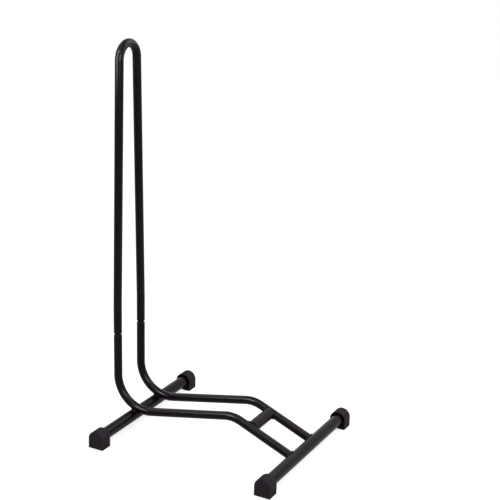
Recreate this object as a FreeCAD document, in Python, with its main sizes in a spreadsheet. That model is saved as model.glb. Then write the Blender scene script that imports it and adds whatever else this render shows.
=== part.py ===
"""Floor stand for one bicycle: a welded tube base on four end caps, with a hoop that plugs in from above.

Millimetres. +X runs along the rails to the front foot, +Y to the left, +Z up.
The origin is on the floor under the middle of the whole stand.
"""
import FreeCAD, Part
import Sketcher
import math
import os

from FreeCAD import Placement, Rotation, Vector

doc = FreeCAD.newDocument("bike_stand")

# Driving sizes, one row each in the sheet: name, value, what it is.
SIZES = [
    ("tube_dia", 16.0, "outside diameter of the rails and the hoop"),
    ("tube_wall", 1.5, "wall of the rails and the hoop"),
    ("foot_dia", 22.0, "outside diameter of the two foot tubes"),
    ("foot_wall", 1.5, "wall of the foot tubes"),
    ("foot_pitch", 342.0, "rear foot axis to front foot axis"),
    ("foot_span", 338.0, "length of a foot over both its caps"),
    ("rail_spacing", 80.0, "rail axis to rail axis, also the hoop's leg ends"),
    ("upright_setback", 35.0, "how far the uprights stand behind the rear foot axis"),
    ("rear_bend", 62.0, "axis radius of the bend from upright to run"),
    ("crest_reach", 215.5, "rear foot axis to the corner where the run turns down"),
    ("crest_height", 69.0, "height of that corner, on the rail axis"),
    ("crest_bend", 56.0, "axis radius of the bend at the crest"),
    ("rail_aim", 0.7, "how far inside the round of the front foot the rails' undersides meet it"),
    ("rail_seat", 0.6, "depth of the saddle that seats a rail on the rear foot"),
    ("joint_height", 179.0, "floor to the lower ends of the hoop"),
    ("swage_length", 1.2, "cone between the full tube and the neck"),
    ("neck_length", 3.8, "neck that shows between the cone and the hoop's ends"),
    ("neck_taper", 0.15, "how much thicker the neck is at its foot, where the hoop would wedge"),
    ("spigot_length", 45.0, "length of spigot inside a hoop leg"),
    ("spigot_fit", 0.05, "gap all round between spigot and hoop bore"),
    ("spigot_lead", 0.8, "bevel at the spigot's tip"),
    ("hoop_height", 726.5, "floor to the top of the hoop"),
    ("arch_bend", 28.5, "axis radius of the arch"),
    ("socket_straight", 7.0, "how much further than its spigot each hoop leg stays upright"),
    ("leg_bend", 150.0, "axis radius where a leg starts to lean inwards"),
    ("hoop_end_round", 0.8, "rounding of the hoop's lower ends"),
    ("cross_reach", 22.4, "end of the crest's bend to the cross tube axis, along the fall"),
    ("cross_dia", 22.0, "outside diameter of the cross tube"),
    ("cross_wall", 1.5, "wall of the cross tube"),
    ("cross_notch", 3.0, "how far the cross tube's notched ends reach round a rail"),
    ("cap_width", 31.5, "width of an end cap"),
    ("cap_depth", 25.0, "length of an end cap along its foot"),
    ("cap_end", 4.0, "thickness of a cap's closed end"),
    ("cap_sole", 7.5, "height of the foot tube above the floor"),
    ("cap_shell", 1.4, "wall of a cap's open mouth"),
    ("cap_recess", 9.0, "depth of the open mouth round the tube"),
    ("cap_fit", 0.05, "gap all round between foot tube and cap bore"),
    ("cap_round", 1.5, "rounding of a cap's closed end and of its sole"),
    ("cap_lip_round", 0.6, "rounding of a cap's mouth"),
    ("weld_leg", 2.2, "width of a weld bead on each tube"),
]

sheet = doc.addObject("Spreadsheet::Sheet", "sizes")
for row, (alias, number, meaning) in enumerate(SIZES, start=1):
    sheet.set(f"A{row}", alias)
    sheet.set(f"B{row}", str(number))
    sheet.set(f"C{row}", meaning)
    sheet.setAlias(f"B{row}", alias)
doc.recompute()


def sized(text):
    """Write a formula on the sheet's names as an expression that any object can hold."""
    for alias, _, _ in SIZES:
        text = text.replace(f"[{alias}]", f"sizes.{alias}")
    return text


def now(text):
    """Value of such a formula with the sheet as it stands."""
    value = sheet.evalExpression(sized(text).replace("sizes.", ""))
    return float(getattr(value, "Value", value))


# Places that several pieces share.
FOOT_AXIS = "([foot_dia] / 2 + [cap_sole])"
RAIL_Y = "([rail_spacing] / 2)"
MIDDLE = "(([foot_pitch] + [cap_width] / 2 - [upright_setback] - [tube_dia] / 2) / 2)"
# Rear bend: its centre, measured from the rear foot's axis, so that it sits in its saddle.
BEND_X = "([rear_bend] - [upright_setback])"
BEND_REACH = "([rear_bend] + [tube_dia] / 2 + [foot_dia] / 2 - [rail_seat])"
BEND_AXIS = f"({FOOT_AXIS} + sqrt({BEND_REACH} ^ 2 - {BEND_X} ^ 2))"
# Fall: from the crest's corner past the front foot's axis, a little under it.
FALL_RUN = "([foot_pitch] - [crest_reach])"
FALL_DROP = f"([crest_height] - {FOOT_AXIS})"
UNDER_FOOT = "([foot_dia] / 2 - [tube_dia] / 2 - [rail_aim])"
SLOPE = (f"(atan({FALL_DROP} / {FALL_RUN})"
         f" + asin({UNDER_FOOT} / sqrt({FALL_RUN} ^ 2 + {FALL_DROP} ^ 2)))")
RAIL_END = f"([crest_height] - {FALL_RUN} * tan({SLOPE}))"
# Rise: the run from the rear bend to the crest's corner, and the length that the crest's bend takes up.
RISE_RUN = f"([crest_reach] - {BEND_X})"
RISE_DROP = f"({BEND_AXIS} - [crest_height])"
RISE = (f"(asin([rear_bend] / sqrt({RISE_RUN} ^ 2 + {RISE_DROP} ^ 2))"
        f" - atan({RISE_DROP} / {RISE_RUN}))")
CREST_TANGENT = f"([crest_bend] * tan(({RISE} + {SLOPE}) / 2))"
# Cross tube: its axis lies on the fall, past the end of the crest's bend.
CROSS_FALL = f"({CREST_TANGENT} + [cross_reach])"
CROSS_X = f"([crest_reach] + {CROSS_FALL} * cos({SLOPE}))"
CROSS_AXIS = f"([crest_height] - {CROSS_FALL} * sin({SLOPE}))"
CROSS_LENGTH = "([rail_spacing] - [tube_dia] + 2 * [cross_notch])"
# Plug-in joint.
SPIGOT_R = "([tube_dia] / 2 - [tube_wall] - [spigot_fit])"
SPIGOT_TOP = "([joint_height] + [spigot_length])"


def bind(thing, prop, formula):
    thing.setExpression(prop, sized(formula))


def place(thing, x="0", y="0", z="0"):
    """Tie a piece's place to the sheet."""
    for axis, formula in zip("xyz", (x, y, z)):
        bind(thing, f"Placement.Base.{axis}", formula)


def new_body(label):
    body = doc.addObject("PartDesign::Body", label)
    body.Label = label
    return body


def new_sketch(body, name, role, offset=None):
    """Sketch on one of the body's own planes, moved along the plane's normal by a formula."""
    sketch = body.newObject("Sketcher::SketchObject", name)
    plane = [feature for feature in body.Origin.OriginFeatures if feature.Role == role][0]
    sketch.AttachmentSupport = [(plane, "")]
    sketch.MapMode = "FlatFace"
    if offset:
        bind(sketch, "AttachmentOffset.Base.z", offset)
    return sketch


def fix(sketch, kind, places, formula):
    """Add a dimension to a sketch and tie it to the sheet."""
    value = now(formula)
    index = sketch.addConstraint(Sketcher.Constraint(kind, *places, value))
    bind(sketch, f"Constraints[{index}]", formula)


def fix_point(sketch, geometry, end, x, y):
    """Hold a point of the sketch at two formulas measured from the sketch's origin."""
    for kind, formula in (("DistanceX", x), ("DistanceY", y)):
        if now(formula) < 0:
            fix(sketch, kind, (geometry, end, -1, 1), f"-1 * ({formula})")
        else:
            fix(sketch, kind, (-1, 1, geometry, end), formula)


def add_circle(sketch, radius, x="0", y="0"):
    """Circle whose radius and centre are formulas."""
    centre = Vector(now(x), now(y), 0)
    circle = sketch.addGeometry(Part.Circle(centre, Vector(0, 0, 1), now(radius)))
    fix(sketch, "Radius", (circle,), radius)
    fix_point(sketch, circle, 3, x, y)


def add_ring(sketch, outer, inner, x="0", y="0"):
    """Section of a tube: two circles about one point, given as radii."""
    for radius in (outer, inner):
        add_circle(sketch, radius, x, y)


def add_bent_path(sketch, corners, bends):
    """Straight runs joined by tangent arcs; returns the runs and the arcs."""
    runs, arcs, arc_ends = [], [], []
    start = corners[0]
    for before, corner, after, bend in zip(corners, corners[1:], corners[2:], bends):
        back = (before - corner).normalize()
        ahead = (after - corner).normalize()
        half = back.getAngle(ahead) / 2
        touch_in = corner + back * (bend / math.tan(half))
        touch_out = corner + ahead * (bend / math.tan(half))
        centre = corner + (back + ahead).normalize() * (bend / math.sin(half))
        left_turn = back.cross(ahead).z < 0
        first, last = (touch_in, touch_out) if left_turn else (touch_out, touch_in)
        angle_first = math.atan2(first.y - centre.y, first.x - centre.x)
        angle_last = math.atan2(last.y - centre.y, last.x - centre.x)
        if angle_last < angle_first:
            angle_last += 2 * math.pi
        circle = Part.Circle(centre, Vector(0, 0, 1), bend)
        runs.append(sketch.addGeometry(Part.LineSegment(start, touch_in)))
        arcs.append(sketch.addGeometry(Part.ArcOfCircle(circle, angle_first, angle_last)))
        arc_ends.append((1, 2) if left_turn else (2, 1))
        start = touch_out
    runs.append(sketch.addGeometry(Part.LineSegment(start, corners[-1])))
    for run, arc, (enter, leave), next_run in zip(runs, arcs, arc_ends, runs[1:]):
        sketch.addConstraint(Sketcher.Constraint("Tangent", run, 2, arc, enter))
        sketch.addConstraint(Sketcher.Constraint("Tangent", arc, leave, next_run, 1))
    return runs, arcs


def add_outline(sketch, points):
    """Closed outline of straight sides through points given as pairs of formulas."""
    corners = [Vector(now(x), now(y), 0) for x, y in points]
    sides = [sketch.addGeometry(Part.LineSegment(a, b)) for a, b in zip(corners, corners[1:] + corners[:1])]
    for side, next_side in zip(sides, sides[1:] + sides[:1]):
        sketch.addConstraint(Sketcher.Constraint("Coincident", side, 2, next_side, 1))
    for side, (x, y) in zip(sides, points):
        fix_point(sketch, side, 1, x, y)


def add_pipe(body, name, section, path):
    pipe = body.newObject("PartDesign::AdditivePipe", name)
    pipe.Profile = section
    pipe.Spine = (path, [])
    return pipe


def cut(body, name, sketch, **settings):
    """Pocket that has to take something away."""
    before = body.Tip.Shape.Volume
    pocket = body.newObject("PartDesign::Pocket", name)
    pocket.Profile = sketch
    pocket.Type = "ThroughAll"
    for setting, value in settings.items():
        setattr(pocket, setting, value)
    doc.recompute()
    if pocket.Shape.Volume > before - 1e-6:
        raise RuntimeError(f"{body.Label}: {name} cuts nothing")
    return pocket


def round_edges(body, name, formula, wanted):
    """Round the edges of the body's last feature that the test picks."""
    doc.recompute()
    base = body.Tip
    names = [f"Edge{i}" for i, edge in enumerate(base.Shape.Edges, start=1) if wanted(edge)]
    rounding = body.newObject("PartDesign::Fillet", name)
    rounding.Base = (base, names)
    bind(rounding, "Radius", formula)
    doc.recompute()
    return rounding


def flat_at(edge, axis, level):
    """True for an edge that lies in one plane square to an axis."""
    if edge.Degenerated:
        return False
    return all(abs(getattr(point, axis) - level) < 1e-4 for point in edge.discretize(5))


def make_tube(label, radius, wall, length):
    """Straight tube along Y, centred on its own origin."""
    body = new_body(label)
    section = new_sketch(body, f"{label}_section", "XZ_Plane")
    add_ring(section, radius, f"{radius} - {wall}")
    pad = body.newObject("PartDesign::Pad", f"{label}_pad")
    pad.Profile = section
    pad.Midplane = True
    bind(pad, "Length", length)
    doc.recompute()
    return body


# Side rails. Each is one bent tube: spigot, neck, upright, rear bend, rising run, crest and fall.
# Its own origin is on the floor under the upright.
def make_rail(label, side):
    body = new_body(label)
    path = new_sketch(body, f"{label}_path", "XZ_Plane")
    neck_foot = "[joint_height] - [neck_length]"
    tube_top = f"{neck_foot} - [swage_length]"
    rear_foot = ("[upright_setback]", FOOT_AXIS)
    front_foot = ("[upright_setback] + [foot_pitch]", FOOT_AXIS)
    crest = ("[upright_setback] + [crest_reach]", "[crest_height]")
    rail_end = (front_foot[0], RAIL_END)

    corners = [
        Vector(0, now(tube_top), 0),
        Vector(0, now(FOOT_AXIS), 0),
        Vector(now(crest[0]), now(crest[1]), 0),
        Vector(now(rail_end[0]), now(rail_end[1]), 0),
    ]
    runs, arcs = add_bent_path(path, corners, [now("[rear_bend]"), now("[crest_bend]")])
    upright, run, fall = runs
    rear_arc, crest_arc = arcs
    path.addConstraint(Sketcher.Constraint("Vertical", upright))
    path.addConstraint(Sketcher.Constraint("PointOnObject", upright, 1, -2))
    fix(path, "DistanceY", (-1, 1, upright, 1), tube_top)
    fix(path, "Radius", (rear_arc,), "[rear_bend]")
    fix(path, "Radius", (crest_arc,), "[crest_bend]")
    fix_point(path, fall, 2, *rail_end)
    # The run and the fall would meet at the crest's corner.
    corner = path.addGeometry(Part.Point(corners[2]), True)
    path.addConstraint(Sketcher.Constraint("PointOnObject", corner, 1, run))
    path.addConstraint(Sketcher.Constraint("PointOnObject", corner, 1, fall))
    fix_point(path, corner, 1, *crest)
    # The rear bend sits in its saddle on the rear foot.
    seat = path.addGeometry(Part.Point(Vector(now(rear_foot[0]), now(rear_foot[1]), 0)), True)
    fix_point(path, seat, 1, *rear_foot)
    fix(path, "Distance", (rear_arc, 3, seat, 1), BEND_REACH)

    section = new_sketch(body, f"{label}_section", "XY_Plane", tube_top)
    add_ring(section, "[tube_dia] / 2", "[tube_dia] / 2 - [tube_wall]")
    add_pipe(body, f"{label}_pipe", section, path)
    doc.recompute()

    # The top of the upright is swaged down to a neck and a spigot with the same wall.
    spigot_bore = f"{SPIGOT_R} - [tube_wall]"
    swage = new_sketch(body, f"{label}_swage_profile", "XZ_Plane")
    add_outline(swage, [
        ("[tube_dia] / 2 - [tube_wall]", tube_top),
        ("[tube_dia] / 2", tube_top),
        (f"{SPIGOT_R} + [neck_taper]", neck_foot),
        (SPIGOT_R, "[joint_height]"),
        (SPIGOT_R, f"{SPIGOT_TOP} - [spigot_lead]"),
        (f"{SPIGOT_R} - [spigot_lead]", SPIGOT_TOP),
        (spigot_bore, SPIGOT_TOP),
        (spigot_bore, neck_foot),
    ])
    spigot = body.newObject("PartDesign::Revolution", f"{label}_swage")
    spigot.Profile = swage
    spigot.ReferenceAxis = (swage, ["V_Axis"])
    spigot.Angle = 360
    doc.recompute()

    # The bend is let into the rear foot, and the front end is coped to the round of the front foot.
    seats = new_sketch(body, f"{label}_seats", "XZ_Plane")
    for x, z in (rear_foot, front_foot):
        add_circle(seats, "[foot_dia] / 2", x, z)
    cut(body, f"{label}_coping", seats, Midplane=True)
    place(body, f"-1 * {MIDDLE} - [upright_setback]", f"{side} * {RAIL_Y}")
    return body


# Hoop. One tube: two legs that stand upright at their ends, lean together higher up and meet in an arch.
# Its own origin is on the floor, midway between the uprights.
def make_hoop(label):
    body = new_body(label)
    path = new_sketch(body, f"{label}_path", "YZ_Plane")
    knee = f"{SPIGOT_TOP} + [socket_straight]"
    arch_axis = "[hoop_height] - [tube_dia] / 2 - [arch_bend]"
    # Two leaning legs would meet far above the arch, and the arch rounds that corner.
    spread = now(RAIL_Y)
    lean = (spread - now("[arch_bend]")) / now(f"{arch_axis} - ({knee})")
    corners = [
        Vector(-spread, now("[joint_height]"), 0),
        Vector(-spread, now(knee), 0),
        Vector(0, now(knee) + spread / lean, 0),
        Vector(spread, now(knee), 0),
        Vector(spread, now("[joint_height]"), 0),
    ]
    bends = [now("[leg_bend]"), now("[arch_bend]"), now("[leg_bend]")]
    runs, arcs = add_bent_path(path, corners, bends)
    for run, end, knee_end, side in ((runs[0], 1, 2, -1), (runs[-1], 2, 1, 1)):
        path.addConstraint(Sketcher.Constraint("Vertical", run))
        fix_point(path, run, end, f"{side} * {RAIL_Y}", "[joint_height]")
        fix(path, "DistanceY", (run, end, run, knee_end), "[spigot_length] + [socket_straight]")
    for arc, bend in zip(arcs, ("[leg_bend]", "[arch_bend]", "[leg_bend]")):
        fix(path, "Radius", (arc,), bend)
    path.addConstraint(Sketcher.Constraint("PointOnObject", arcs[1], 3, -2))
    fix(path, "DistanceY", (-1, 1, arcs[1], 3), arch_axis)

    section = new_sketch(body, f"{label}_section", "XY_Plane", "[joint_height]")
    add_ring(section, "[tube_dia] / 2", "[tube_dia] / 2 - [tube_wall]", y=f"-1 * {RAIL_Y}")
    add_pipe(body, f"{label}_pipe", section, path)
    outside, level = now("[tube_dia] / 2"), now("[joint_height]")
    round_edges(body, f"{label}_ends", "[hoop_end_round]",
                lambda edge: flat_at(edge, "z", level) and abs(edge.Curve.Radius - outside) < 1e-4)
    place(body, f"-1 * {MIDDLE} - [upright_setback]")
    return body


# Cross tube between the falling rails. Turned so that its own X runs down along the rails.
def make_cross_tube(label):
    body = make_tube(label, "[cross_dia] / 2", "[cross_wall]", CROSS_LENGTH)
    notches = new_sketch(body, f"{label}_notches", "YZ_Plane")
    for side in (-1, 1):
        add_circle(notches, "[tube_dia] / 2", f"{side} * {RAIL_Y}")
    cut(body, f"{label}_coping", notches, Midplane=True)
    body.Placement = Placement(Vector(), Rotation(Vector(0, 1, 0), now(SLOPE)))
    bind(body, "Placement.Rotation.Angle", SLOPE)
    place(body, f"{CROSS_X} - {MIDDLE}", "0", CROSS_AXIS)
    return body


# End caps. An arched block with a flat sole, a blind bore for the foot tube and an open mouth round it.
# The cap's own origin is on the floor at its closed end, and its Y runs inwards.
def add_arched_outline(sketch, half_width, axis, bottom):
    """Round top about the tube's axis, upright sides and a flat bottom."""
    r, z, low = now(half_width), now(axis), now(bottom)
    arc = sketch.addGeometry(Part.ArcOfCircle(Part.Circle(Vector(0, z, 0), Vector(0, 0, 1), r), 0, math.pi))
    left = sketch.addGeometry(Part.LineSegment(Vector(-r, z, 0), Vector(-r, low, 0)))
    base = sketch.addGeometry(Part.LineSegment(Vector(-r, low, 0), Vector(r, low, 0)))
    right = sketch.addGeometry(Part.LineSegment(Vector(r, low, 0), Vector(r, z, 0)))
    sketch.addConstraint(Sketcher.Constraint("Tangent", arc, 2, left, 1))
    sketch.addConstraint(Sketcher.Constraint("Coincident", left, 2, base, 1))
    sketch.addConstraint(Sketcher.Constraint("Coincident", base, 2, right, 1))
    sketch.addConstraint(Sketcher.Constraint("Tangent", right, 2, arc, 1))
    sketch.addConstraint(Sketcher.Constraint("Horizontal", base))
    sketch.addConstraint(Sketcher.Constraint("Vertical", left))
    sketch.addConstraint(Sketcher.Constraint("Vertical", right))
    fix(sketch, "Radius", (arc,), half_width)
    fix_point(sketch, arc, 3, "0", axis)
    fix(sketch, "DistanceY", (-1, 1, base, 1), bottom)


def make_cap(label, foot_x, side):
    body = new_body(label)
    outline = new_sketch(body, f"{label}_outline", "XZ_Plane")
    add_arched_outline(outline, "[cap_width] / 2", FOOT_AXIS, "0")
    block = body.newObject("PartDesign::Pad", f"{label}_block")
    block.Profile = outline
    block.Reversed = True
    bind(block, "Length", "[cap_depth]")
    doc.recompute()

    mouth_level, half = now("[cap_depth]"), now("[cap_width] / 2")
    round_edges(body, f"{label}_closed_end", "[cap_round]",
                lambda edge: flat_at(edge, "y", 0) or (flat_at(edge, "z", 0) and flat_at(edge, "x", half))
                or (flat_at(edge, "z", 0) and flat_at(edge, "x", -half)))
    round_edges(body, f"{label}_lip", "[cap_lip_round]", lambda edge: flat_at(edge, "y", mouth_level))

    mouth = new_sketch(body, f"{label}_mouth_outline", "XZ_Plane", "[cap_recess] - [cap_depth]")
    add_arched_outline(mouth, "[cap_width] / 2 - [cap_shell]", FOOT_AXIS, "[cap_shell]")
    cut(body, f"{label}_mouth", mouth)
    bore = new_sketch(body, f"{label}_bore_outline", "XZ_Plane", "-1 * [cap_end]")
    add_circle(bore, "[foot_dia] / 2 + [cap_fit]", "0", FOOT_AXIS)
    cut(body, f"{label}_bore", bore)
    body.Placement = Placement(Vector(), Rotation(Vector(0, 0, 1), 180 if side > 0 else 0))
    place(body, f"{foot_x} - {MIDDLE}", f"{side} * [foot_span] / 2")
    return body


# Weld beads. A bead fills the corner between two tubes as far as it lies within one weld leg of both.
# The round rods below stand for the tubes, measured from the rear foot's axis.
def make_rod(name, radius, length, turn_axis, turn, x="0", y="0", z="0"):
    rod = doc.addObject("Part::Cylinder", name)
    rod.Placement = Placement(Vector(), Rotation(turn_axis, now(turn)))
    bind(rod, "Placement.Rotation.Angle", turn)
    bind(rod, "Radius", radius)
    bind(rod, "Height", length)
    place(rod, x, y, z)
    return rod


def make_ring(name, radius, y):
    """Whole ring that the rear bend of a rail is a stretch of."""
    ring = doc.addObject("Part::Torus", name)
    ring.Placement = Placement(Vector(), Rotation(Vector(1, 0, 0), 90))
    bind(ring, "Radius1", "[rear_bend]")
    bind(ring, "Radius2", radius)
    place(ring, BEND_X, y, BEND_AXIS)
    return ring


def make_weld(label, first, second):
    """Bead between two tubes, each given as a rod of its own size and one that is a weld leg larger."""
    corner = doc.addObject("Part::Common", f"{label}_corner")
    corner.Base = first[1]
    corner.Tool = second[1]
    outside_first = doc.addObject("Part::Cut", f"{label}_outside")
    outside_first.Base = corner
    outside_first.Tool = first[0]
    bead = doc.addObject("Part::Cut", label)
    bead.Label = label
    bead.Base = outside_first
    bead.Tool = second[0]
    place(bead, f"-1 * {MIDDLE}")
    return bead


def both_sizes(maker, name, radius, *rest, **places):
    """The same rod or ring twice: at its own size, and a weld leg larger all round."""
    plain = maker(name, radius, *rest, **places)
    grown = maker(f"{name}_grown", f"{radius} + [weld_leg]", *rest, **places)
    return plain, grown


tube_length = "[foot_span] - 2 * [cap_end]"
pieces = []
for side, name in ((1, "left"), (-1, "right")):
    pieces.append(make_rail(f"{name}_side_rail", side))
pieces.append(make_hoop("upper_hoop"))
pieces.append(make_cross_tube("cross_tube"))
for name, foot_x in (("rear", "0"), ("front", "[foot_pitch]")):
    foot = make_tube(f"{name}_foot_tube", "[foot_dia] / 2", "[foot_wall]", tube_length)
    place(foot, f"{foot_x} - {MIDDLE}", "0", FOOT_AXIS)
    pieces.append(foot)
    for side, hand in ((1, "left"), (-1, "right")):
        pieces.append(make_cap(f"{name}_{hand}_foot_cap", foot_x, side))

across = (Vector(1, 0, 0), "-90 deg")
down_rail = (Vector(0, 1, 0), f"{SLOPE} - 90 deg")
foot_rod = ("[foot_dia] / 2", "[foot_span]", *across)
foot_end = "-1 * [foot_span] / 2"
rear_rod = both_sizes(make_rod, "rear_rod", *foot_rod, y=foot_end, z=FOOT_AXIS)
front_rod = both_sizes(make_rod, "front_rod", *foot_rod, x="[foot_pitch]", y=foot_end, z=FOOT_AXIS)
# The larger cross rod is also longer, so that its beads close the ends of the cross tube.
cross_rod = (
    make_rod("cross_rod", "[cross_dia] / 2", CROSS_LENGTH, *across,
             x=CROSS_X, y=f"-1 * {CROSS_LENGTH} / 2", z=CROSS_AXIS),
    make_rod("cross_rod_grown", "[cross_dia] / 2 + [weld_leg]", f"{CROSS_LENGTH} + 2 * [weld_leg]", *across,
             x=CROSS_X, y=f"-1 * {CROSS_LENGTH} / 2 - [weld_leg]", z=CROSS_AXIS),
)
fall_length = f"{FALL_RUN} / cos({SLOPE})"
for side, hand in ((1, "left"), (-1, "right")):
    y = f"{side} * {RAIL_Y}"
    bend = both_sizes(make_ring, f"{hand}_bend_ring", "[tube_dia] / 2", y)
    fall = both_sizes(make_rod, f"{hand}_fall_rod", "[tube_dia] / 2", fall_length, *down_rail,
                      x="[foot_pitch]", y=y, z=RAIL_END)
    pieces.append(make_weld(f"rear_{hand}_weld", rear_rod, bend))
    pieces.append(make_weld(f"front_{hand}_weld", front_rod, fall))
    pieces.append(make_weld(f"cross_{hand}_weld", cross_rod, fall))

doc.recompute()
for thing in doc.Objects:
    if "Invalid" in thing.State or "Error" in thing.State:
        raise RuntimeError(f"{thing.Name} failed: {thing.State}")
for piece in pieces:
    if piece.Shape.isNull() or not piece.Shape.isValid():
        raise RuntimeError(f"{piece.Label} has no sound shape")

os.makedirs("parts", exist_ok=True)
for piece in pieces:
    piece.Shape.exportStep(f"parts/{piece.Label}.step")
    box = piece.Shape.optimalBoundingBox()
    print(f"{piece.Label}: {len(piece.Shape.Solids)} solid, {piece.Shape.Volume / 1000:.2f} cm3, "
          f"X {box.XMin:.1f} to {box.XMax:.1f}, Y {box.YMin:.1f} to {box.YMax:.1f}, "
          f"Z {box.ZMin:.1f} to {box.ZMax:.1f}")
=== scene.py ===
# %% [markdown]
# # A floor bike stand
#
# The stand is a welded base of bent steel tube on four moulded end caps, and a tall hoop that plugs in
# from above. What is parked on it rolls in between the two side rails, and the hoop's legs hold it
# upright.
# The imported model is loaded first. It is the fixed frame: each piece below takes its place from it,
# so nothing has to be fitted by eye.

# %% Load the frame
import math

import bmesh
import bpy
from mathutils import Matrix, Vector


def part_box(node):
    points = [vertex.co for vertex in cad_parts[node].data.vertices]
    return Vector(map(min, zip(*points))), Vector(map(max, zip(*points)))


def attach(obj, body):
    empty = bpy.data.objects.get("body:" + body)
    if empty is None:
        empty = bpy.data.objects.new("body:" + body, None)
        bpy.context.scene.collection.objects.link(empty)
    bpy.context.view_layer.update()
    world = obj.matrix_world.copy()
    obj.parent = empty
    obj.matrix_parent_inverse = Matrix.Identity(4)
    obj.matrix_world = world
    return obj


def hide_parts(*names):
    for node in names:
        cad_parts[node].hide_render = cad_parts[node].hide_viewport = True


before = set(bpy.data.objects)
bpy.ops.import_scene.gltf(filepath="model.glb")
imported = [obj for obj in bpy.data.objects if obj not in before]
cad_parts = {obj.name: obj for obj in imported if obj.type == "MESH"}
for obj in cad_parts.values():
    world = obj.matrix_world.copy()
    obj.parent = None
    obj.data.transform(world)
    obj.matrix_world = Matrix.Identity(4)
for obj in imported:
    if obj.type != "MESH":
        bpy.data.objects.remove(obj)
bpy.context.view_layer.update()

# %% [markdown]
# ## The sizes
#
# A tube's box gives its radius, its line and its ends. These could be typed in again, but a size that
# is written twice can go wrong in one place, so they are read from the frame. A box says nothing about
# bends, walls and the slope of a run. Those are written down once, as they would be on a bending
# drawing.

# %% Read the sizes from the frame
MM = 0.001
AXIS_Y, AXIS_Z = 1, 2


def middle(node):
    low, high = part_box(node)
    return (low + high) / 2


def radius_of(node, axis):
    """Half of a tube's box, to the nearest tenth of a millimetre."""
    low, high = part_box(node)
    return round((high[axis] - low[axis]) / 2, 4)


tube_radius = radius_of("left_side_rail", AXIS_Y)
foot_radius = radius_of("front_foot_tube", AXIS_Z)
cross_radius = radius_of("cross_tube", AXIS_Z)
rail_y = middle("left_side_rail").y
upright_x = middle("upper_hoop").x
rear_x = middle("rear_foot_tube").x
front_x = middle("front_foot_tube").x
foot_z = middle("front_foot_tube").z
foot_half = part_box("front_foot_tube")[1].y
joint_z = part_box("upper_hoop")[0].z
hoop_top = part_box("upper_hoop")[1].z
spigot_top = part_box("left_side_rail")[1].z
cross_middle = middle("cross_tube")
cross_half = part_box("cross_tube")[1].y

print("rail radius", tube_radius, "foot radius", foot_radius, "joint height", round(joint_z, 4))

# %% Write down what a box can't say
TUBE_WALL = 1.5 * MM
FOOT_WALL = 1.5 * MM
SPIGOT_RADIUS = 6.45 * MM
NECK_LENGTH = 3.8 * MM     # bare neck between the hoop's end and the shoulder
NECK_TAPER = 0.15 * MM     # how much thicker the neck is at its foot
SWAGE_LENGTH = 1.2 * MM    # shoulder between the neck and the full tube
REAR_BEND = 62.0 * MM      # a bend's radius is that of the tube's middle line
CREST_BEND = 56.0 * MM
CREST_REACH = 215.5 * MM   # from the rear foot to the crest's corner
CREST_HEIGHT = 69.0 * MM
SADDLE_DEPTH = 0.6 * MM    # how deep the rear bend is cut to sit on the rear foot
RAIL_AIM = 0.7 * MM        # how far inside the front foot's round the fall's underside runs
LEG_KNEE = 231.0 * MM      # height at which the hoop's legs begin to lean together
LEG_BEND = 150.0 * MM
ARCH_BEND = 28.5 * MM
print("bends", [round(bend / MM, 1) for bend in (REAR_BEND, CREST_BEND, LEG_BEND, ARCH_BEND)], "mm")

# %% [markdown]
# ## The camera
#
# The stand is seen from its front right, a little from above, through a long lens. The camera could be
# turned by eye until the picture looks right, but then every line is a little off. So its place and
# turn were worked out from edges whose real size is known, such as the feet and the joint heights.
# The optical centre isn't in the middle of the frame, which is what shift is for.

# %% Set up the camera
PICTURE = 500.0                   # side of the square picture, in pixels
FOCAL_LENGTH = 1221.1             # in pixels
OPTICAL_CENTRE = (188.3, 261.9)   # in pixels, from the left and from the top
CAMERA_PLACE = Vector((1.0056, -1.8274, 1.0269))
CAMERA_TURN, CAMERA_DIP, CAMERA_ROLL = (math.radians(angle) for angle in (30.33, 18.19, -0.61))
SENSOR_WIDTH = 36.0
FAR_LIMIT = 60.0


def add_object(name, data):
    made = bpy.data.objects.new(name, data)
    bpy.context.collection.objects.link(made)
    return made


view_line = Vector((-math.sin(CAMERA_TURN) * math.cos(CAMERA_DIP),
                    math.cos(CAMERA_TURN) * math.cos(CAMERA_DIP), -math.sin(CAMERA_DIP)))
level_right = Vector((math.cos(CAMERA_TURN), math.sin(CAMERA_TURN), 0.0))
level_down = view_line.cross(level_right)
frame_right = level_right * math.cos(CAMERA_ROLL) + level_down * math.sin(CAMERA_ROLL)
frame_up = level_right * math.sin(CAMERA_ROLL) - level_down * math.cos(CAMERA_ROLL)

lens = bpy.data.cameras.new("photo_lens")
lens.sensor_fit = "HORIZONTAL"
lens.sensor_width = SENSOR_WIDTH
lens.lens = FOCAL_LENGTH / PICTURE * SENSOR_WIDTH
lens.shift_x = (PICTURE / 2 - OPTICAL_CENTRE[0]) / PICTURE
lens.shift_y = (OPTICAL_CENTRE[1] - PICTURE / 2) / PICTURE
lens.clip_end = FAR_LIMIT
camera = add_object("photo_camera", lens)
turned = Matrix((frame_right, frame_up, -view_line)).transposed().to_4x4()
camera.matrix_world = Matrix.Translation(CAMERA_PLACE) @ turned
bpy.context.scene.camera = camera
print("lens", round(lens.lens, 2), "mm, shift", round(lens.shift_x, 3), round(lens.shift_y, 3))

# %% [markdown]
# ## Floor and light
#
# Black gloss paint has almost no colour of its own: what is seen is what it mirrors. So the room is
# white all round, and each lamp has one job. Two soft boxes, one overhead and one behind, light the
# stand plainly. A fill on the right is for matt surfaces alone, so that the caps look greyer than the
# paint. Upright panels round the stand are for gloss alone and draw the lines of light on the bends,
# and two high ones brighten what faces upwards. A small and very bright panel would draw sharper
# lines, but it also burns out the rims of the tubes when they are seen from behind, so the panels are
# wide and soft.
# The floor is pale and takes the stand's shadow. For rays that come straight from the camera or off a
# gloss surface it also glows a little, so that it fades into the white room.

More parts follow.
